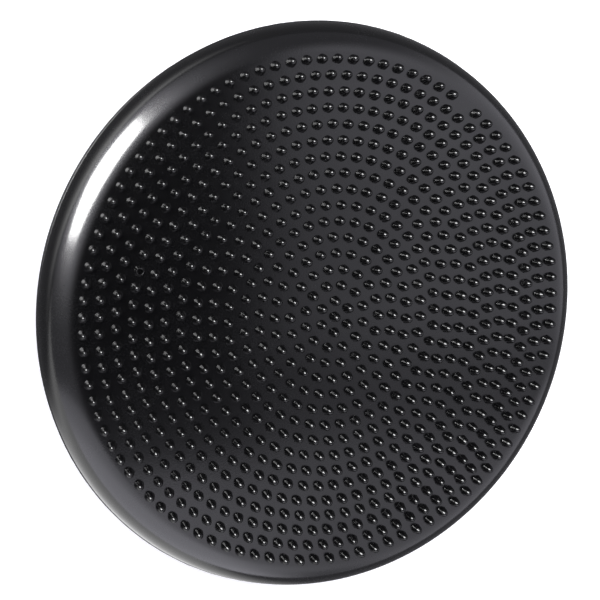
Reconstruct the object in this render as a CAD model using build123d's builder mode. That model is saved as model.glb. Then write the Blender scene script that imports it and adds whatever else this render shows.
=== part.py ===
from build123d import *
from math import asin, cos, degrees, sin, tan
import os

# A wobble cushion: an inflated disc of glossy PVC with massage nubs all over its upper face.
# It is two moulded half skins, welded together round the equator, with an air valve in the
# rim. The disc lies flat, as it is used: +Z goes up through the nubbed face, the origin is on
# the floor under the middle of the disc, and the valve points along +X.

# Driving dimensions, in millimetres.
outer_radius = 165.0
crown_height = 33.4  # from the equator up to the smooth skin at the middle
face_radius = 828.0  # of the sphere that each inflated face follows
skin_thickness = 2.8
foot_radius = 36.0  # of the flat pad that the cushion rests on
foot_thickness = 0.8  # at the middle of the pad

nub_pitch = 9.07  # from one ring of nubs to the next
nub_base_radius = 2.9
nub_tip_radius = 1.4
nub_height = 5.8
nubs_in_first_ring = 6  # ring 2 has twice as many, ring 3 three times as many, and so on

# How far each ring of nubs is turned, from the innermost, as a share of its nubs' spacing.
ring_turns = (0.5, 0.6, 0, 0, 0.7, 0.8, 0.2, 0, -0.05, 0.7, 0.05, 0.2, 0, 0.43, 0.72, 0.76)
lost_nub = (16, 14)  # ring and place of a nub that has come off

dot_base_radius = 4.6
dot_tip_radius = 4.1
dot_height = 1.2
dot_pitch = 18.14
dot_rings = range(3, 9)
root_depth = 0.8  # how far the root of a nub or dot goes into the skin

seam_width = 1.6
seam_proud = 0.5
seam_flash = 1.5  # how far the weld stands into the air space
seam_edge_radius = 0.45

housing_radius = 8.0
housing_length = 15.0
housing_recess = 1.6  # how far the valve's outer face lies in from the equator
flange_radius = 10.0
flange_thickness = 2.0
flange_inset = 4.6  # from the valve's outer face to the flange
housing_edge_radius = 0.7
core_radius = 4.0
core_length = 12.0
needle_radius = 0.7
plug_head_radius = 5.0
plug_head_thickness = 1.6
plug_stem_radius = 2.1
plug_stem_length = 5.0
plug_edge_radius = 0.5
plug_stem_chamfer = 0.6
plug_grip_height = 0.9
plug_grip_width = 1.4
plug_grip_length = 7.5
fit_gap = 0.05  # between the pieces of the valve that are glued together
slide_gap = 0.1  # between the plug and what it slides in
skin_gap = 0.2  # between the valve housing and the hole in the skins
cut_margin = 1.1  # how much taller than the sphere the cone is that cuts out a crown

# Worked out from the driving dimensions. Each face is a sphere, and the rim is a round arc
# that meets the sphere smoothly and stands upright at the equator.
equator = foot_thickness + crown_height
crown_centre = equator + crown_height - face_radius
rim_radius = (2 * face_radius * crown_height - crown_height**2 - outer_radius**2) / (
    2 * (face_radius - outer_radius)
)
rim_centre = outer_radius - rim_radius
crown_tilt = asin(rim_centre / (face_radius - rim_radius))  # of the skin where crown and rim meet
rim_sweep = 90 - degrees(crown_tilt)
crown_cut_height = cut_margin * face_radius
crown_cut_top = crown_centre + crown_cut_height
crown_cut_edge = (crown_cut_height * tan(crown_tilt), crown_cut_top)
seam_inner_radius = outer_radius - skin_thickness - seam_flash
seam_reach = outer_radius + seam_proud - seam_inner_radius
housing_face = outer_radius - housing_recess
plug_head_base = housing_face - plug_grip_height - plug_head_thickness

# Planes that look out along the valve's axis.
valve_mouth = Plane(origin=(housing_face, 0, equator), x_dir=(0, 1, 0), z_dir=(1, 0, 0))
plug_seat = valve_mouth.offset(plug_head_base - housing_face)


def crown_plane(radius, angle, below=0.0):
    """The plane on the smooth upper skin at this distance from the middle, sunk by below."""
    if radius < face_radius * sin(crown_tilt):
        tilt = asin(radius / face_radius)
        height = crown_centre + face_radius * cos(tilt)
    else:
        tilt = asin((radius - rim_centre) / rim_radius)
        height = equator + rim_radius * cos(tilt)
    along = Vector(1, 0, 0).rotate(Axis.Z, angle)
    up = along * sin(tilt) + Vector(0, 0, cos(tilt))
    return Plane(origin=along * radius + Vector(0, 0, height) - up * below, z_dir=up)


def ring_angles(ring, turn=0.0):
    """The angles of the nubs or dots of one ring, in degrees."""
    count = nubs_in_first_ring * ring
    return [360 / count * (place + turn) for place in range(count)]


def nub_planes():
    """One plane for each nub: the middle one, and the rings round it."""
    planes = [crown_plane(0, 0, root_depth)]
    for ring, turn in enumerate(ring_turns, start=1):
        for place, angle in enumerate(ring_angles(ring, turn)):
            if (ring, place) != lost_nub:
                planes.append(crown_plane(ring * nub_pitch, angle, root_depth))
    return planes


def dot_planes():
    """One plane for each grip dot, laid out on an upper skin."""
    return [
        crown_plane(ring * dot_pitch, angle, root_depth)
        for ring in dot_rings
        for angle in ring_angles(ring)
    ]


# Half of the hollow disc, above the equator, with room for the weld and the valve. The poles
# of its spheres lie level, away from the nubs.
with BuildPart() as half_skin:
    with BuildSketch(Plane.XZ):
        with BuildLine():
            Polyline((0, crown_centre), crown_cut_edge, (0, crown_cut_top), close=True)
        make_face()
    revolve(axis=Axis.Z)
    with Locations((0, 0, crown_centre)):
        Sphere(face_radius, rotation=(0, 90, 0), mode=Mode.INTERSECT)
        Sphere(face_radius - skin_thickness, rotation=(0, 90, 0), mode=Mode.SUBTRACT)
    with BuildSketch(Plane.XZ):
        with BuildLine():
            outer_arc = CenterArc((rim_centre, equator), rim_radius, 0, rim_sweep)
            inner_arc = CenterArc((rim_centre, equator), rim_radius - skin_thickness, 0, rim_sweep)
            Line(outer_arc @ 0, inner_arc @ 0)
            Line(outer_arc @ 1, inner_arc @ 1)
        make_face()
        with Locations((outer_radius, equator)):
            Rectangle(2 * seam_reach, seam_width, mode=Mode.SUBTRACT)
    revolve(axis=Axis.Z)
    with BuildSketch(valve_mouth):
        Circle(housing_radius + skin_gap)
    extrude(amount=housing_length, both=True, mode=Mode.SUBTRACT)

with BuildPart() as upper_skin:
    add(half_skin.part)
    with Locations(*nub_planes()):
        Cone(
            nub_base_radius,
            nub_tip_radius,
            nub_height + root_depth,
            align=(Align.CENTER, Align.CENTER, Align.MIN),
        )

# The lower skin is shaped as an upper one and turned over, so its dots stand on a crown too.
with BuildPart() as lower_skin:
    add(half_skin.part)
    with Locations(*dot_planes()):
        Cone(
            dot_base_radius,
            dot_tip_radius,
            dot_height + root_depth,
            align=(Align.CENTER, Align.CENTER, Align.MIN),
        )
    with BuildSketch(Plane.XY.offset(equator + crown_height + foot_thickness)):
        Circle(foot_radius)
    extrude(amount=-skin_thickness)
    mirror(about=Plane.XY.offset(equator), mode=Mode.REPLACE)

with BuildPart() as equator_seam:
    with BuildSketch(Plane.XZ):
        with Locations((seam_inner_radius, equator)):
            Rectangle(seam_reach, seam_width, align=(Align.MIN, Align.CENTER))
    revolve(axis=Axis.Z)
    outer_edges = equator_seam.edges().filter_by(GeomType.CIRCLE).sort_by(SortBy.RADIUS)[-2:]
    fillet(outer_edges, seam_edge_radius)
    with BuildSketch(valve_mouth):
        Circle(housing_radius + fit_gap)
    extrude(amount=housing_length, both=True, mode=Mode.SUBTRACT)

with BuildPart() as valve_housing:
    with BuildSketch(valve_mouth):
        Circle(housing_radius)
    extrude(amount=-housing_length)
    with BuildSketch(valve_mouth.offset(-flange_inset)):
        Circle(flange_radius)
    extrude(amount=-flange_thickness)
    outer_rim = valve_housing.edges().filter_by(GeomType.CIRCLE).sort_by(Axis.X)[-1]
    fillet(outer_rim, housing_edge_radius)
    with BuildSketch(valve_mouth):
        Circle(plug_head_radius + slide_gap)
    extrude(amount=-(housing_face - plug_head_base), mode=Mode.SUBTRACT)
    with BuildSketch(valve_mouth):
        Circle(core_radius + fit_gap)
    extrude(amount=-housing_length, mode=Mode.SUBTRACT)

# The self-sealing core: the plug's stem fills its mouth, and a pump needle goes through it.
with BuildPart() as valve_core:
    with BuildSketch(plug_seat.offset(-fit_gap)):
        Circle(core_radius)
        Circle(needle_radius, mode=Mode.SUBTRACT)
    extrude(amount=-core_length)
    with BuildSketch(plug_seat.offset(-fit_gap)):
        Circle(plug_stem_radius + slide_gap)
    extrude(amount=-(plug_stem_length + slide_gap), mode=Mode.SUBTRACT)

with BuildPart() as valve_plug:
    with BuildSketch(plug_seat):
        Circle(plug_head_radius)
    extrude(amount=plug_head_thickness)
    head_rim = valve_plug.edges().filter_by(GeomType.CIRCLE).sort_by(Axis.X)[-1]
    fillet(head_rim, plug_edge_radius)
    with BuildSketch(plug_seat):
        Circle(plug_stem_radius)
    extrude(amount=-plug_stem_length)
    stem_end = valve_plug.edges().filter_by(GeomType.CIRCLE).sort_by(Axis.X)[0]
    chamfer(stem_end, plug_stem_chamfer)
    with BuildSketch(plug_seat.offset(plug_head_thickness - fit_gap)):
        Rectangle(plug_grip_length, plug_grip_width)
    extrude(amount=plug_grip_height + fit_gap)

upper_skin.part.label = "upper_skin"
lower_skin.part.label = "lower_skin"
equator_seam.part.label = "equator_seam"
valve_housing.part.label = "valve_housing"
valve_core.part.label = "valve_core"
valve_plug.part.label = "valve_plug"

os.makedirs("parts", exist_ok=True)
export_step(upper_skin.part, "parts/upper_skin.step")
export_step(lower_skin.part, "parts/lower_skin.step")
export_step(equator_seam.part, "parts/equator_seam.step")
export_step(valve_housing.part, "parts/valve_housing.step")
export_step(valve_core.part, "parts/valve_core.step")
export_step(valve_plug.part, "parts/valve_plug.step")
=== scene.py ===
"""The looks of a wobble cushion: an inflated disc of glossy black PVC with massage nubs."""

from math import asin, cos, pi, radians, sin, sqrt

import bpy
import numpy as np
from mathutils import Matrix, Vector


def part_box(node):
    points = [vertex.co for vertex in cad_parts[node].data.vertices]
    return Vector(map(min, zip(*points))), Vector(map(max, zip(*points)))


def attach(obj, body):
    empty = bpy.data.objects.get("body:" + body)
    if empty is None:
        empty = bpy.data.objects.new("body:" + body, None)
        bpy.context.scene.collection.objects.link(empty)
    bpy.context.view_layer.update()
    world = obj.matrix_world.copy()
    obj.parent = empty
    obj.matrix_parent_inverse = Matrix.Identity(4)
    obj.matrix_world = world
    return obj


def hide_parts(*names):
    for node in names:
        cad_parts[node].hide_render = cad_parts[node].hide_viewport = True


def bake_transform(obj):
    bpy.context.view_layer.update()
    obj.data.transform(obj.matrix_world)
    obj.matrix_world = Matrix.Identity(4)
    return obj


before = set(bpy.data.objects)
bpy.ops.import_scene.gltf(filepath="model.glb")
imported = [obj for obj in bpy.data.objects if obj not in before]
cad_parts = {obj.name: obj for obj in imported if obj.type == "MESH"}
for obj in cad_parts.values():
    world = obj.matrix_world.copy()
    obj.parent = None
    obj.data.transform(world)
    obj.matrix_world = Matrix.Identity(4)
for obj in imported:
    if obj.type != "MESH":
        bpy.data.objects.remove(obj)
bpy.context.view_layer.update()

# ---------------------------------------------------------------- sizes, in metres

# Heights read from the CAD model.
seam_low, seam_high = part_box("equator_seam")
EQUATOR = (seam_low[2] + seam_high[2]) / 2
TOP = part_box("upper_skin")[1][2]
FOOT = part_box("lower_skin")[0][2]

# The massage nubs on the upper face.
NUB_HEIGHT = 0.0058
NUB_PITCH = 0.00907
NUBS_IN_FIRST_RING = 6
RING_TURNS = (0.5, 0.6, 0, 0, 0.7, 0.8, 0.2, 0, -0.05, 0.7, 0.05, 0.2, 0, 0.43, 0.72, 0.76)
LOST_NUB = (16, 14)  # ring, and place in the ring
CRATER_NUB = (13, 36)
INNER_RINGS = 11  # the rings of nubs in the inner of the two nub pieces
NUB_BASE = 0.00275  # radius of its flank at the skin
NUB_SEGMENTS = 22
NUB_BLUNTNESS = 1.75  # 1 makes a pointed nub, 2 half an egg
NUB_LEVELS = (0.20, 0.42, 0.62, 0.78, 0.89, 0.957, 0.99)  # shares of its height

# How much the nubs differ from each other.
NUB_SIZE_SPREAD = 0.02
NUB_HEIGHT_SPREAD = 0.02
NUB_BLUNT_SPREAD = 0.06
NUB_LEAN_SPREAD = 0.035

# Outlines of the small turned shapes, as radius and height above the skin.
ROOT_DEPTH = 0.0007  # how far nubs and dots go on below the skin
NUB_ROOT_CURVE = (  # as radius past the nub's base
    (0.00045, -ROOT_DEPTH),
    (0.00025, -0.00004),
    (0.000075, 0.000125),
)
CRATER_OUTLINE = (
    (0.0034, -ROOT_DEPTH),
    (0.0032, -0.0001),
    (0.0030, 0.0002),
    (0.0028, 0.0010),
    (0.0024, 0.0019),
    (0.0020, 0.0023),
    (0.0017, 0.0022),
    (0.0014, 0.0012),
    (0.0011, 0.0002),
)
CRATER_FLOOR = -0.0016
DOT_HEIGHT = 0.0012
DOT_OUTLINE = (
    (0.0052, -ROOT_DEPTH),
    (0.0050, -0.00005),
    (0.0047, 0.00008),
    (0.0045, 0.0003),
    (0.0041, 0.0009),
    (0.0040, 0.0011),
    (0.0037, 0.0012),
    (0.00205, 0.0012),
)

# The grip dots underneath.
DOT_PITCH = 0.01814
DOT_RINGS = range(3, 9)
DOT_SEGMENTS = 32

# The inflated disc: each face follows a sphere and the rim a round arc.
OUTER_RADIUS = 0.165
FACE_RADIUS = 0.828
SKIN_THICKNESS = 0.0028
HOLE_RADIUS = 0.0082  # the hole for the valve
CROWN_HEIGHT = TOP - NUB_HEIGHT - EQUATOR
CROWN_CENTRE = CROWN_HEIGHT - FACE_RADIUS  # the sphere's middle, above the equator
RIM_RADIUS = (2 * FACE_RADIUS * CROWN_HEIGHT - CROWN_HEIGHT**2 - OUTER_RADIUS**2) / (
    2 * (FACE_RADIUS - OUTER_RADIUS)
)
RIM_CENTRE = OUTER_RADIUS - RIM_RADIUS
CROWN_TILT = asin(RIM_CENTRE / (FACE_RADIUS - RIM_RADIUS))
CROWN_EDGE = FACE_RADIUS * sin(CROWN_TILT)
CROWN_STEPS = 30
RIM_STEPS = 30
TURN_STEPS = 300
NOTCH_STEPS = 26

# The skins' broad unevenness: its depth, and the share, slopes and phase of each wave.
UNEVENNESS = 0.00006
UNEVEN_FROM = 0.02  # it grows to its full depth this far in from the equator
SWELL_WAVES = ((0.45, 31, 12, 0.7), (0.30, -23, 44, 2.1), (0.25, 57, -38, 4.0))

# The flat foot pad.
PAD_RADIUS = 0.036
PAD_DEPTH = EQUATOR - FOOT
PAD_EDGE = 0.0006  # the size of its bevelled edge
PAD_EDGE_MIDDLE = 0.3  # the share of that size at the bevel's middle
PAD_ROOT = (0.0001, 0.0003)  # how far out and down its side meets the skin
PAD_APPROACH = (0.0012, 0.0004)  # the last circles of the skin are this far outside it
PAD_CLEAR = 0.003  # and no other circle is closer than this
PAD_MARGIN = 0.002  # what is this close to its depth has no unevenness

# The weld round the equator.
SEAM_WIDTH = 0.0016
SEAM_PROUD = 0.0005
SEAM_DEPTH = 0.0040
SEAM_STEPS = 720
SEAM_ARC = 70  # degrees up and down from its crest
SEAM_ARC_STEPS = 9
SEAM_FILL = (0.92, 0.98)  # the shares of its full size outward and up that it fills
SEAM_CUT = 0.0081  # half the gap left for the valve
SEAM_WAVES = ((3, 0.30, 0.4), (17, 0.25, 1.9), (41, 0.25, 5.1), (97, 0.20, 3.3))
SEAM_WANDER_UP = 0.00005
SEAM_WANDER_OUT = 0.00003
SEAM_ROUGHNESS = 0.00004
SEAM_SMOOTHING = 3  # steps over which the roughness is averaged
SEAM_SINK = 0.00005

# Edges sharper than this are not shaded smooth, in degrees.
SHARP_SKIN = 50
SHARP_SEAM = 60

rng = np.random.default_rng(33)


# ---------------------------------------------------------------- meshes


def make_object(name, verts, faces, material, sharp):
    mesh = bpy.data.meshes.new(name)
    mesh.from_pydata([tuple(v) for v in verts], [], faces)
    mesh.validate()
    mesh.shade_smooth()
    mesh.set_sharp_from_angle(angle=radians(sharp))
    mesh.materials.append(material)
    obj = bpy.data.objects.new(name, mesh)
    bpy.context.scene.collection.objects.link(obj)
    return obj


def bridge(ring_a, ring_b, count, flip=False):
    """Quads between two closed rings of points."""
    faces = []
    for i in range(count):
        j = (i + 1) % count
        quad = (ring_a + i, ring_a + j, ring_b + j, ring_b + i)
        faces.append(quad[::-1] if flip else quad)
    return faces


def dome(start, rings, count, flip=False):
    """Quads from each ring to the next, and triangles from the last to the point after it."""
    faces = []
    for k in range(rings - 1):
        faces += bridge(start + k * count, start + (k + 1) * count, count, flip)
    last = start + (rings - 1) * count
    tip = last + count
    for i in range(count):
        j = (i + 1) % count
        faces.append((last + j, last + i, tip) if flip else (last + i, last + j, tip))
    return faces


def turned(outline, tip, segments):
    """A small closed shape turned about the local up axis, from its flat bottom to its tip."""
    turns = np.arange(segments) * 2 * pi / segments
    rings = [
        np.stack([r * np.cos(turns), r * np.sin(turns), np.full(segments, h)], axis=1)
        for r, h in outline
    ]
    points = np.concatenate(rings + [np.array([[0, 0, tip]])])
    faces = dome(0, len(outline), segments)
    faces.append(tuple(range(segments))[::-1])
    return points, faces


# ---------------------------------------------------------------- the skins


def skin_height(radius, inset=0.0):
    """The height of the smooth upper skin above the equator."""
    radius = np.asarray(radius, float)
    face, rim = FACE_RADIUS - inset, RIM_RADIUS - inset
    on_crown = radius < face * sin(CROWN_TILT)
    crown = CROWN_CENTRE + np.sqrt(np.maximum(face**2 - radius**2, 0))
    edge = np.sqrt(np.maximum(rim**2 - (radius - RIM_CENTRE) ** 2, 0))
    return np.where(on_crown, crown, edge)


def swell(x, y):
    """Low, broad unevenness of the moulded skin, from -1 to 1, as it is over the whole disc."""
    return sum(share * np.sin(a * x + b * y + phase) for share, a, b, phase in SWELL_WAVES)


def skin_angles():
    """Angles round the disc, close together where the valve goes through the rim."""
    reach = asin(HOLE_RADIUS / OUTER_RADIUS)
    notch = [reach * sin(radians(t)) for t in np.linspace(-90, 90, NOTCH_STEPS + 1)]
    rest = np.linspace(reach, 2 * pi - reach, TURN_STEPS)[1:-1]
    return np.concatenate([notch, rest])


def rim_start(angle, rim):
    """How far up its arc the skin begins: above the weld, or above the valve's hole."""
    across = (RIM_CENTRE + rim) * sin(angle)
    height = SEAM_WIDTH / 2
    if cos(angle) > 0 and abs(across) < HOLE_RADIUS:
        height = max(height, sqrt(HOLE_RADIUS**2 - across**2))
    return asin(min(height / rim, 1))


def rim_rings(angles, inset):
    """Radii and heights of the rings of points up the rim, to the edge of the face."""
    rim = RIM_RADIUS - inset
    starts = np.array([rim_start(a, rim) for a in angles])
    end = pi / 2 - CROWN_TILT
    rings = []
    for share in np.linspace(0, 1, RIM_STEPS + 1):
        up = starts + (end - starts) * share
        rings.append((RIM_CENTRE + rim * np.cos(up), rim * np.sin(up)))
    return rings


def face_circles(inset):
    """Radius and height of the circles of points on a face, from the rim inward."""
    edge = (FACE_RADIUS - inset) * sin(CROWN_TILT)
    radii = np.linspace(edge, 0, CROWN_STEPS + 1)[1:-1]
    return [(radius, float(skin_height(radius, inset))) for radius in radii]


def with_pad(circles):
    """The same circles with the step out to the foot pad, and with the pad flat inside it."""
    outside = [(r, h) for r, h in circles if r > PAD_RADIUS + PAD_CLEAR]
    inside = [(r, PAD_DEPTH) for r, h in circles if r < PAD_RADIUS - PAD_CLEAR]
    for gap in PAD_APPROACH:
        outside.append((PAD_RADIUS + gap, float(skin_height(PAD_RADIUS + gap))))
    middle = PAD_EDGE * PAD_EDGE_MIDDLE
    step = [
        (PAD_RADIUS + PAD_ROOT[0], outside[-1][1] + PAD_ROOT[1]),
        (PAD_RADIUS, PAD_DEPTH - PAD_EDGE),
        (PAD_RADIUS - middle, PAD_DEPTH - middle),
        (PAD_RADIUS - PAD_EDGE, PAD_DEPTH),
    ]
    return outside + step + inside


def skin_wall(inset, foot):
    """Rings of points from the equator to next to the pole, and the pole."""
    angles = skin_angles()
    whole = np.ones_like(angles)
    circles, pole = face_circles(inset), float(skin_height(0, inset))
    if foot:
        circles, pole = with_pad(circles), PAD_DEPTH
    rings = rim_rings(angles, inset)
    rings += [(radius * whole, height * whole) for radius, height in circles]
    points = [np.stack([r * np.cos(angles), r * np.sin(angles), h], axis=1) for r, h in rings]
    return points, np.array([[0, 0, pole]])


def skin_shell(name, material, below=False):
    """One half skin: a closed shell with an outer and an inner wall."""
    outer, outer_pole = skin_wall(0.0, below)
    inner, inner_pole = skin_wall(SKIN_THICKNESS, False)
    count = len(outer[0])
    base = len(outer) * count + 1
    faces = dome(0, len(outer), count)
    faces += dome(base, len(inner), count, flip=True)
    faces += bridge(0, base, count, flip=True)
    points = np.concatenate(outer + [outer_pole] + inner + [inner_pole])
    from_equator = OUTER_RADIUS - np.hypot(points[:, 0], points[:, 1])
    fade = np.clip(from_equator / UNEVEN_FROM, 0, 1)
    if below:
        fade = fade * (points[:, 2] < PAD_DEPTH - PAD_MARGIN)
    points[:, 2] += UNEVENNESS * fade * swell(points[:, 0], points[:, 1])
    if below:
        points[:, 2] *= -1
        faces = [f[::-1] for f in faces]
    points[:, 2] += EQUATOR
    return make_object(name, points, faces, material, SHARP_SKIN)


# ---------------------------------------------------------------- nubs and dots


def skin_frame(radius, angle):
    """A point on the smooth upper skin with directions outward, along the ring, and up."""
    if radius < CROWN_EDGE:
        tilt = asin(radius / FACE_RADIUS)
    else:
        tilt = asin((radius - RIM_CENTRE) / RIM_RADIUS)
    out = np.array([cos(angle), sin(angle), 0.0])
    along = np.array([-sin(angle), cos(angle), 0.0])
    up = out * sin(tilt) + np.array([0, 0, cos(tilt)])
    origin = out * radius + np.array([0, 0, float(skin_height(radius))])
    return origin, np.cross(along, up), along, up


def plant(points, radius, angle, lean=(0.0, 0.0)):
    """Stands a small turned shape on the upper skin and bends its root to follow the skin."""
    origin, out, along, up = skin_frame(radius, angle)
    leaned = points.copy()
    leaned[:, 0] += points[:, 2] * lean[0]
    leaned[:, 1] += points[:, 2] * lean[1]
    flat = origin + leaned[:, :1] * out + leaned[:, 1:2] * along
    drop = skin_height(np.hypot(flat[:, 0], flat[:, 1])) - flat[:, 2]
    placed = flat + leaned[:, 2:] * up
    placed[:, 2] += drop
    placed[:, 2] += UNEVENNESS * swell(origin[0], origin[1])
    return placed


def ring_angles(ring, turn=0.0):
    count = NUBS_IN_FIRST_RING * ring
    return [2 * pi / count * (place + turn) for place in range(count)]


def nub_places(rings):
    """The ring, the place in it, the radius and the angle of each nub."""
    places = []
    for ring in rings:
        if ring == 0:
            places.append((0, 0, 0.0, 0.0))
            continue
        for place, angle in enumerate(ring_angles(ring, RING_TURNS[ring - 1])):
            places.append((ring, place, ring * NUB_PITCH, angle))
    return places


def nub_outline(base, height, blunt):
    """Radius and height of a nub's outline, from under the skin to near the middle of its tip."""
    outline = [(base + past, rise) for past, rise in NUB_ROOT_CURVE]
    for share in NUB_LEVELS:
        radius = base * sqrt(1 - share ** (NUB_BLUNTNESS * (1 + blunt)))
        outline.append((radius, height * share))
    return outline


def nub_field(name, rings, material):
    """Round-tipped nubs, one hollow like a crater and one lost, in the given rings."""
    verts, faces, start = [], [], 0
    for ring, place, radius, angle in nub_places(rings):
        size = rng.normal(0, NUB_SIZE_SPREAD)
        tall = rng.normal(0, NUB_HEIGHT_SPREAD)
        blunt = rng.normal(0, NUB_BLUNT_SPREAD)
        lean = rng.normal(0, NUB_LEAN_SPREAD, 2)
        if (ring, place) == LOST_NUB:
            continue
        if (ring, place) == CRATER_NUB:
            outline, tip = CRATER_OUTLINE, CRATER_FLOOR
        else:
            tip = NUB_HEIGHT * min(1 + tall, 1.0)
            outline = nub_outline(NUB_BASE * (1 + size), tip, blunt)
        points, quads = turned(outline, tip, NUB_SEGMENTS)
        verts.append(plant(points, radius, angle, lean))
        faces += [tuple(start + i for i in quad) for quad in quads]
        start += len(points)
    placed = np.concatenate(verts)
    placed[:, 2] += EQUATOR
    return make_object(name, placed, faces, material, SHARP_SKIN)


def grip_dots(name, material):
    """Low round dots in rings, planted on the upper skin and mirrored to the lower one."""
    verts, faces, start = [], [], 0
    points, quads = turned(DOT_OUTLINE, DOT_HEIGHT, DOT_SEGMENTS)
    for ring in DOT_RINGS:
        for angle in ring_angles(ring):
            verts.append(plant(points, ring * DOT_PITCH, angle))
            faces += [tuple(start + i for i in quad)[::-1] for quad in quads]
            start += len(points)
    placed = np.concatenate(verts)
    placed[:, 2] = EQUATOR - placed[:, 2]
    return make_object(name, placed, faces, material, SHARP_SKIN)


# ---------------------------------------------------------------- the weld


def seam_section():
    """Radius and height of the weld's section, round from its lower inner corner."""
    low, half = OUTER_RADIUS - SEAM_DEPTH, SEAM_WIDTH / 2
    section = [(low, -half), (OUTER_RADIUS, -half)]
    for degrees in np.linspace(-SEAM_ARC, SEAM_ARC, SEAM_ARC_STEPS):
        out = SEAM_PROUD * cos(radians(degrees)) * SEAM_FILL[0]
        section.append((OUTER_RADIUS + out, half * sin(radians(degrees)) * SEAM_FILL[1]))
    return section + [(OUTER_RADIUS, half), (low, half)]


def weld_bead(name, material):
    """The weld round the equator: a slightly uneven bead, cut where the valve comes through."""
    reach = asin(SEAM_CUT / OUTER_RADIUS)
    angles = np.linspace(reach, 2 * pi - reach, SEAM_STEPS)
    wander = sum(share * np.sin(turns * angles + phase) for turns, share, phase in SEAM_WAVES)
    average = np.ones(SEAM_SMOOTHING) / SEAM_SMOOTHING
    rough = np.convolve(rng.normal(0, 1, SEAM_STEPS), average, mode="same")
    section = seam_section()
    count = len(section)
    points = []
    for i, angle in enumerate(angles):
        growth = SEAM_ROUGHNESS * rough[i] + SEAM_WANDER_OUT * wander[i] - SEAM_SINK
        lift = SEAM_WANDER_UP * wander[i]
        for r, z in section:
            crest = max(r - OUTER_RADIUS, 0) / SEAM_PROUD
            radius = min(r + crest * growth, OUTER_RADIUS + SEAM_PROUD)
            points.append((radius * cos(angle), radius * sin(angle), z + lift * crest))
    points = np.array(points)
    points[:, 2] += EQUATOR
    faces = []
    for i in range(SEAM_STEPS - 1):
        a, b = i * count, (i + 1) * count
        for k in range(count):
            m = (k + 1) % count
            faces.append((a + k, b + k, b + m, a + m))
    faces.append(tuple(range(count)))
    end = (SEAM_STEPS - 1) * count
    faces.append(tuple(end + k for k in range(count))[::-1])
    return make_object(name, points, faces, material, SHARP_SEAM)


# ---------------------------------------------------------------- materials

FINE_RIPPLE = 1.2  # the depth of vinyl's fine ripples as a share of its wide ones


def new_material(name):
    material = bpy.data.materials.new(name)
    material.use_nodes = True
    nodes = material.node_tree.nodes
    nodes.clear()
    output = nodes.new("ShaderNodeOutputMaterial")
    shader = nodes.new("ShaderNodeBsdfPrincipled")
    material.node_tree.links.new(shader.outputs["BSDF"], output.inputs["Surface"])
    return material, shader


def noise(material, scale, detail, roughness):
    tree = material.node_tree
    place = tree.nodes.new("ShaderNodeTexCoord")
    node = tree.nodes.new("ShaderNodeTexNoise")
    node.inputs["Scale"].default_value = scale
    node.inputs["Detail"].default_value = detail
    node.inputs["Roughness"].default_value = roughness
    tree.links.new(place.outputs["Object"], node.inputs["Vector"])
    return node.outputs["Fac"]


def spread(material, value, span, result):
    """Maps one span of values to another."""
    tree = material.node_tree
    node = tree.nodes.new("ShaderNodeMapRange")
    node.inputs["From Min"].default_value = span[0]
    node.inputs["From Max"].default_value = span[1]
    node.inputs["To Min"].default_value = result[0]
    node.inputs["To Max"].default_value = result[1]
    tree.links.new(value, node.inputs["Value"])
    return node.outputs["Result"]


def times(material, a, b):
    tree = material.node_tree
    node = tree.nodes.new("ShaderNodeMath")
    node.operation = "MULTIPLY"
    tree.links.new(a, node.inputs[0])
    tree.links.new(b, node.inputs[1])
    return node.outputs["Value"]


def blend_colours(material, value, first, second):
    tree = material.node_tree
    node = tree.nodes.new("ShaderNodeMix")
    node.data_type = "RGBA"
    node.inputs["A"].default_value = (*first, 1)
    node.inputs["B"].default_value = (*second, 1)
    tree.links.new(value, node.inputs["Factor"])
    return node.outputs["Result"]


def bump(material, value, depth, under=None):
    tree = material.node_tree
    node = tree.nodes.new("ShaderNodeBump")
    node.inputs["Distance"].default_value = depth
    tree.links.new(value, node.inputs["Height"])
    if under is not None:
        tree.links.new(under, node.inputs["Normal"])
    return node.outputs["Normal"]


def glossy_pvc(name, dark, pale, smooth, sheen, dusty, ripple, coat=1.0):
    """Shiny black vinyl: faint ripples, a film of dust in patches, and a clear skin over it."""
    material, shader = new_material(name)
    tree = material.node_tree
    shader.inputs["IOR"].default_value = 1.45
    shader.inputs["Specular IOR Level"].default_value = sheen
    shader.inputs["Coat Weight"].default_value = coat
    shader.inputs["Coat IOR"].default_value = 1.5
    shader.inputs["Coat Roughness"].default_value = smooth
    patches = noise(material, scale=38.0, detail=4.0, roughness=0.6)
    grain = noise(material, scale=900.0, detail=2.0, roughness=0.5)
    dust = times(
        material,
        spread(material, patches, span=(0.42, 0.72), result=(0.15, 1.0)),
        spread(material, grain, span=(0.45, 0.75), result=(0.2, 1.0)),
    )
    tree.links.new(blend_colours(material, dust, dark, pale), shader.inputs["Base Color"])
    rough = spread(material, dust, span=(0.0, 1.0), result=dusty)
    tree.links.new(rough, shader.inputs["Roughness"])
    waves = noise(material, scale=95.0, detail=2.0, roughness=0.4)
    wide = bump(material, waves, ripple)
    wrinkles = noise(material, scale=1000.0, detail=3.0, roughness=0.6)
    fine = bump(material, wrinkles, ripple * FINE_RIPPLE, wide)
    tree.links.new(fine, shader.inputs["Normal"])
    tree.links.new(fine, shader.inputs["Coat Normal"])
    return material


def soft_rubber(name, dark, pale, depth):
    """Matt rubber, a little cloudy, with a fine grain."""
    material, shader = new_material(name)
    tree = material.node_tree
    shader.inputs["IOR"].default_value = 1.5
    grain = noise(material, scale=1400.0, detail=4.0, roughness=0.6)
    cloud = noise(material, scale=160.0, detail=3.0, roughness=0.5)
    tree.links.new(blend_colours(material, cloud, dark, pale), shader.inputs["Base Color"])
    rough = spread(material, cloud, span=(0.3, 0.7), result=(0.42, 0.6))
    tree.links.new(rough, shader.inputs["Roughness"])
    tree.links.new(bump(material, grain, depth), shader.inputs["Normal"])
    return material


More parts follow.
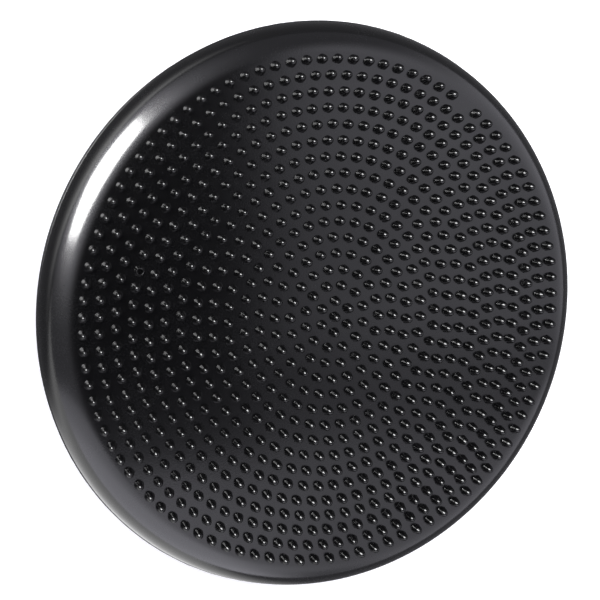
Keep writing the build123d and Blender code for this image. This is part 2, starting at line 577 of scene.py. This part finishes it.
def skin_vinyl():
    return glossy_pvc(
        "black_pvc",
        dark=(0.0012, 0.0012, 0.0014),
        pale=(0.004, 0.004, 0.0045),
        smooth=0.15,
        sheen=0.20,
        dusty=(0.25, 0.33),
        ripple=0.000018,
    )


def nub_vinyl():
    return glossy_pvc(
        "black_pvc_nubs",
        dark=(0.0015, 0.0015, 0.0016),
        pale=(0.003, 0.003, 0.0034),
        smooth=0.17,
        sheen=0.03,
        dusty=(0.4, 0.5),
        ripple=0.000006,
        coat=0.7,
    )


def weld_vinyl():
    return glossy_pvc(
        "black_weld",
        dark=(0.006, 0.006, 0.0065),
        pale=(0.03, 0.03, 0.031),
        smooth=0.30,
        sheen=0.05,
        dusty=(0.4, 0.6),
        ripple=0.00005,
        coat=0.5,
    )


def valve_rubber():
    return soft_rubber(
        "valve_rubber", dark=(0.012, 0.012, 0.013), pale=(0.022, 0.022, 0.023), depth=0.00002
    )


def plug_rubber():
    return soft_rubber(
        "valve_plug", dark=(0.018, 0.018, 0.019), pale=(0.034, 0.034, 0.036), depth=0.00001
    )


# ---------------------------------------------------------------- camera and lights

CAMERA_PLACE = Vector((-0.5386, 0.2266, TOP + 1.2303))
CAMERA_AIM = Vector((-0.0241, 0.0113, TOP))
CAMERA_UP = Vector((0.033, 0.987, -0.159))
CAMERA_LENS = 144.66

LIGHT_UP = Vector((-0.157, -0.218, 1))
KEY_PLACE = Vector((-0.25, 1.0, 2.1))
KEY_AIM = Vector((0, 0, 0))
KEY_SIZE = 1.2
KEY_RADIANCE = 10.0

# The strip light's corners, as slopes across and up from the direction of its middle.
STRIP_MIDDLE = Vector((-0.687, 0.500, 0.527))
STRIP_AWAY = 1.3
STRIP_CORNERS = (
    (-0.18, -0.39),
    (-0.33, 0.26),
    (-0.10, 0.35),
    (0.18, 0.33),
    (0.42, -0.09),
    (0.20, -0.38),
)
STRIP_RADIANCE = 34.0


def aimed(place, aim, up):
    """Where a camera or a light stands, and how it is turned."""
    back = (place - aim).normalized()
    right = up.cross(back).normalized()
    true_up = back.cross(right)
    turn = Matrix((right, true_up, back)).transposed()
    return Matrix.Translation(place) @ turn.to_4x4()


def add_camera():
    data = bpy.data.cameras.new("camera")
    data.lens = CAMERA_LENS
    data.sensor_width = 36.0
    data.clip_start = 0.05
    data.clip_end = 50.0
    camera = bpy.data.objects.new("camera", data)
    camera.matrix_world = aimed(CAMERA_PLACE, CAMERA_AIM, CAMERA_UP)
    bpy.context.scene.collection.objects.link(camera)
    bpy.context.scene.camera = camera


def add_strip():
    """A bright slanted panel that is only seen in glossy things."""
    across = LIGHT_UP.cross(STRIP_MIDDLE).normalized()
    up = STRIP_MIDDLE.cross(across)
    verts = [STRIP_AWAY * (STRIP_MIDDLE + across * a + up * b) for a, b in STRIP_CORNERS]
    mesh = bpy.data.meshes.new("strip_light")
    mesh.from_pydata([tuple(v) for v in verts], [], [tuple(range(len(verts)))])
    material, shader = new_material("strip_light")
    shader.inputs["Base Color"].default_value = (0, 0, 0, 1)
    shader.inputs["Emission Color"].default_value = (1, 1, 1, 1)
    shader.inputs["Emission Strength"].default_value = STRIP_RADIANCE
    mesh.materials.append(material)
    panel = bpy.data.objects.new("strip_light", mesh)
    panel.visible_camera = False
    panel.visible_diffuse = False
    panel.visible_shadow = False
    bpy.context.scene.collection.objects.link(panel)


def add_key():
    """A square light from above and behind that only shines on matt things."""
    data = bpy.data.lights.new("key", "AREA")
    data.shape = "RECTANGLE"
    data.size = KEY_SIZE
    data.size_y = KEY_SIZE
    data.energy = KEY_RADIANCE * pi * KEY_SIZE * KEY_SIZE
    light = bpy.data.objects.new("key", data)
    light.matrix_world = aimed(KEY_PLACE, KEY_AIM, LIGHT_UP)
    light.visible_camera = False
    light.visible_glossy = False
    bpy.context.scene.collection.objects.link(light)


# ---------------------------------------------------------------- world and floor

# Each part of the light below has a strength, and for each of its edges the two values
# between which it fades in.
TINT = (0.99, 0.98, 1.08, 1)
WHITE = 1.05  # the brightness of the backdrop that the camera sees

AMBIENT = 0.30  # all round, but not straight above
AMBIENT_EDGE = (0.97, 0.80)

SIDE = 0.68  # towards +X
SIDE_EDGE = (0.19, 0.36)
SIDE_FAR = (-0.80, -0.40)
SIDE_NEAR = (-0.95, -0.75)
SIDE_LEVEL = 0.9
SIDE_RISE = 0.35  # added to its level behind the cushion
SIDE_RISE_EDGE = (0.0, 0.18)
SIDE_DIP = -0.75  # what it loses just before the front light begins
SIDE_DIP_EDGE = (0.15, 0.28)
SIDE_DIP_END = (0.44, 0.35)

FRONT_WAY = (0.06, -1.0, 0.0)
FRONT = 1.25  # towards -Y, and not to the right
FRONT_EDGE = (0.40, 0.47)
FRONT_LOW = 0.75  # added to it nearer the horizon
FRONT_LOW_EDGE = (0.55, 0.75)
FRONT_LEFT = (-0.42, -0.10)

GLOW_WAY = (-0.67, 0.58, 0.46)  # towards the strip light, which has a glow round it
GLOW_ACROSS = (0.587, 0.81, 0.0)
GLOW_EDGE = (0.55, 1.0)
GLOW_ROUND = 0.8
GLOW_TALL = 2.0
GLOW_TALL_LEFT = (-0.6, -0.15)
GLOW_TALL_RIGHT = (0.6, 0.15)

# The floor is lit from below too, and glossy things see it a darker grey with patches of painted
# glow: painted reflections on the rim. Its edges are in metres from the cushion's middle.
FLOOR_HALF = 9.0
FLOOR_SEEN = (0.88, 0.88, 0.885)
# Painted shade: glossy things see the floor this dark grey, not white.
FLOOR_MIRRORED = (0.08, 0.08, 0.081)  # as the glossy rim shows it
FLOOR_GLOW = 0.4
# Painted reflections: these glows on the floor are seen only by glossy things.
FRONT_GLOW = 1.3  # as the rim shows it, in front of the cushion
FRONT_GLOW_NEAR = (-0.05, -0.13)
FRONT_GLOW_LEFT = (0.04, -0.12)
STRIP_GLOW = 2.4  # as the rim shows it, towards the strip light
STRIP_GLOW_WAY = (-GLOW_ACROSS[1], GLOW_ACROSS[0], 0.0)
STRIP_GLOW_NEAR = (0.20, 0.45)
STRIP_GLOW_LEFT = (-0.34, -0.06)
STRIP_GLOW_RIGHT = (0.40, 0.10)


class Field:
    """Brightness worked out from a direction or a place, as shader nodes."""

    def __init__(self, tree, vector):
        self.tree = tree
        self.vector = vector
        split = tree.nodes.new("ShaderNodeSeparateXYZ")
        tree.links.new(vector, split.inputs["Vector"])
        self.axis = split.outputs

    def step(self, value, low, high):
        """0 up to the first value and 1 from the second, with a smooth step between them."""
        node = self.tree.nodes.new("ShaderNodeMapRange")
        node.interpolation_type = "SMOOTHSTEP"
        node.inputs["From Min"].default_value = low
        node.inputs["From Max"].default_value = high
        self.tree.links.new(value, node.inputs["Value"])
        return node.outputs["Result"]

    def math(self, operation, a, b):
        node = self.tree.nodes.new("ShaderNodeMath")
        node.operation = operation
        for socket, value in zip(node.inputs, (a, b)):
            if isinstance(value, (int, float)):
                socket.default_value = value
            else:
                self.tree.links.new(value, socket)
        return node.outputs["Value"]

    def along(self, way):
        """How far each direction or place goes the given way."""
        node = self.tree.nodes.new("ShaderNodeVectorMath")
        node.operation = "DOT_PRODUCT"
        node.inputs[1].default_value = way
        self.tree.links.new(self.vector, node.inputs[0])
        return node.outputs["Value"]

    def lobe(self, strength, *masks):
        """The strength where all the masks are 1, and nothing where one of them is 0."""
        value = strength
        for mask in masks:
            value = self.math("MULTIPLY", mask, value)
        return value

    def total(self, *lobes):
        value = lobes[0]
        for lobe in lobes[1:]:
            value = self.math("ADD", value, lobe)
        return value


def side_light(make, forward):
    """The light on the right: brighter behind the cushion, and with a dip before the front."""
    x, y = make.axis["X"], make.axis["Y"]
    down = make.math("MULTIPLY", y, -1.0)
    dip = make.lobe(SIDE_DIP, make.step(down, *SIDE_DIP_EDGE), make.step(forward, *SIDE_DIP_END))
    rise = make.lobe(SIDE_RISE, make.step(y, *SIDE_RISE_EDGE))
    return make.lobe(
        SIDE,
        make.step(x, *SIDE_EDGE),
        make.step(down, *SIDE_FAR),
        make.step(y, *SIDE_NEAR),
        make.math("ADD", dip, 1.0),
        make.math("ADD", rise, SIDE_LEVEL),
    )


def front_light(make, forward):
    """The light in front of the cushion, brighter nearer the horizon."""
    down = make.math("MULTIPLY", make.axis["Y"], -1.0)
    left = make.math("MULTIPLY", make.axis["X"], -1.0)
    both = make.total(
        make.lobe(FRONT, make.step(forward, *FRONT_EDGE)),
        make.lobe(FRONT_LOW, make.step(down, *FRONT_LOW_EDGE)),
    )
    return make.lobe(1.0, make.step(left, *FRONT_LEFT), both)


def strip_glow(make):
    """The glow round the strip light: a round part, and a brighter one that is taller."""
    near = make.step(make.along(GLOW_WAY), *GLOW_EDGE)
    across = make.along(GLOW_ACROSS)
    beside = make.lobe(
        1.0, make.step(across, *GLOW_TALL_LEFT), make.step(across, *GLOW_TALL_RIGHT)
    )
    return make.total(make.lobe(GLOW_ROUND, near, near), make.lobe(GLOW_TALL, near, beside))


def world_light(tree, vector):
    """The studio round the object: how bright it is in each direction."""
    make = Field(tree, vector)
    ambient = make.lobe(AMBIENT, make.step(make.axis["Z"], *AMBIENT_EDGE))
    forward = make.along(FRONT_WAY)
    side, front = side_light(make, forward), front_light(make, forward)
    return make.total(ambient, side, front, strip_glow(make))


def floor_glow(tree, vector):
    """How strongly each place on the floor glows as glossy things show it: a painted reflection.
    """
    make = Field(tree, vector)
    front = make.lobe(
        FRONT_GLOW,
        make.step(make.axis["Y"], *FRONT_GLOW_NEAR),
        make.step(make.axis["X"], *FRONT_GLOW_LEFT),
    )
    across = make.along(GLOW_ACROSS)
    strip = make.lobe(
        STRIP_GLOW,
        make.step(make.along(STRIP_GLOW_WAY), *STRIP_GLOW_NEAR),
        make.step(across, *STRIP_GLOW_LEFT),
        make.step(across, *STRIP_GLOW_RIGHT),
    )
    return make.total(front, strip)


def add_world():
    """The studio's light, with an even white backdrop where the camera looks past the object."""
    world = bpy.data.worlds.new("studio")
    bpy.context.scene.world = world
    world.use_nodes = True
    tree = world.node_tree
    tree.nodes.clear()
    place = tree.nodes.new("ShaderNodeTexCoord")
    shown = tree.nodes.new("ShaderNodeBackground")
    shown.inputs["Color"].default_value = TINT
    tree.links.new(world_light(tree, place.outputs["Generated"]), shown.inputs["Strength"])
    white = tree.nodes.new("ShaderNodeBackground")
    white.inputs["Color"].default_value = (1, 1, 1, 1)
    white.inputs["Strength"].default_value = WHITE
    seen = tree.nodes.new("ShaderNodeLightPath")
    mixed = tree.nodes.new("ShaderNodeMixShader")
    output = tree.nodes.new("ShaderNodeOutputWorld")
    tree.links.new(seen.outputs["Is Camera Ray"], mixed.inputs["Fac"])
    tree.links.new(shown.outputs["Background"], mixed.inputs[1])
    tree.links.new(white.outputs["Background"], mixed.inputs[2])
    tree.links.new(mixed.outputs["Shader"], output.inputs["Surface"])


def floor_white():
    """Matt white, lit from below, and grey with a patchy glow as glossy things show it: painted
    shade and painted reflection.
    """
    material, shader = new_material("studio_floor")
    tree = material.node_tree
    # Painted reflection: glossy rays see a dark grey floor that glows in patches.
    mirrored = tree.nodes.new("ShaderNodeLightPath").outputs["Is Glossy Ray"]
    pale = blend_colours(material, mirrored, FLOOR_SEEN, FLOOR_MIRRORED)
    tree.links.new(pale, shader.inputs["Base Color"])
    shader.inputs["Roughness"].default_value = 0.9
    shader.inputs["Specular IOR Level"].default_value = 0.0
    shader.inputs["Emission Color"].default_value = (1, 1, 1, 1)
    place = tree.nodes.new("ShaderNodeTexCoord")
    glow = tree.nodes.new("ShaderNodeMix")
    glow.inputs["A"].default_value = FLOOR_GLOW
    tree.links.new(mirrored, glow.inputs["Factor"])
    tree.links.new(floor_glow(tree, place.outputs["Object"]), glow.inputs["B"])
    tree.links.new(glow.outputs["Result"], shader.inputs["Emission Strength"])
    return material


def add_floor():
    mesh = bpy.data.meshes.new("studio_floor")
    corners = [(-1, -1), (1, -1), (1, 1), (-1, 1)]
    verts = [(FLOOR_HALF * x, FLOOR_HALF * y, FOOT) for x, y in corners]
    mesh.from_pydata(verts, [], [(0, 1, 2, 3)])
    mesh.materials.append(floor_white())
    floor = bpy.data.objects.new("studio_floor", mesh)
    bpy.context.scene.collection.objects.link(floor)


def set_stage():
    add_camera()
    add_world()
    add_floor()
    add_strip()
    add_key()
    bpy.context.scene.view_settings.view_transform = "Standard"
    bpy.context.scene.view_settings.look = "None"


# ---------------------------------------------------------------- the object


def build():
    skin, nubs, weld = skin_vinyl(), nub_vinyl(), weld_vinyl()
    rubber, plug = valve_rubber(), plug_rubber()

    inner_rings = range(INNER_RINGS + 1)
    outer_rings = range(INNER_RINGS + 1, len(RING_TURNS) + 1)
    upper = skin_shell("upper_skin_shell", skin)
    inner_nubs = nub_field("massage_nubs_inner", inner_rings, nubs)
    outer_nubs = nub_field("massage_nubs_outer", outer_rings, nubs)
    lower = skin_shell("lower_skin_shell", skin, below=True)
    dots = grip_dots("grip_dots", skin)
    bead = weld_bead("weld_bead", weld)

    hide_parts("upper_skin")
    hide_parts("lower_skin")
    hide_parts("equator_seam")
    for piece in (upper, inner_nubs, outer_nubs):
        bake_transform(piece)
    for piece in (lower, dots):
        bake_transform(piece)
    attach(bead, "rim")

    for node, material in (
        ("valve_housing", rubber),
        ("valve_core", rubber),
        ("valve_plug", plug),
    ):
        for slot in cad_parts[node].material_slots:
            slot.material = material


set_stage()
build()
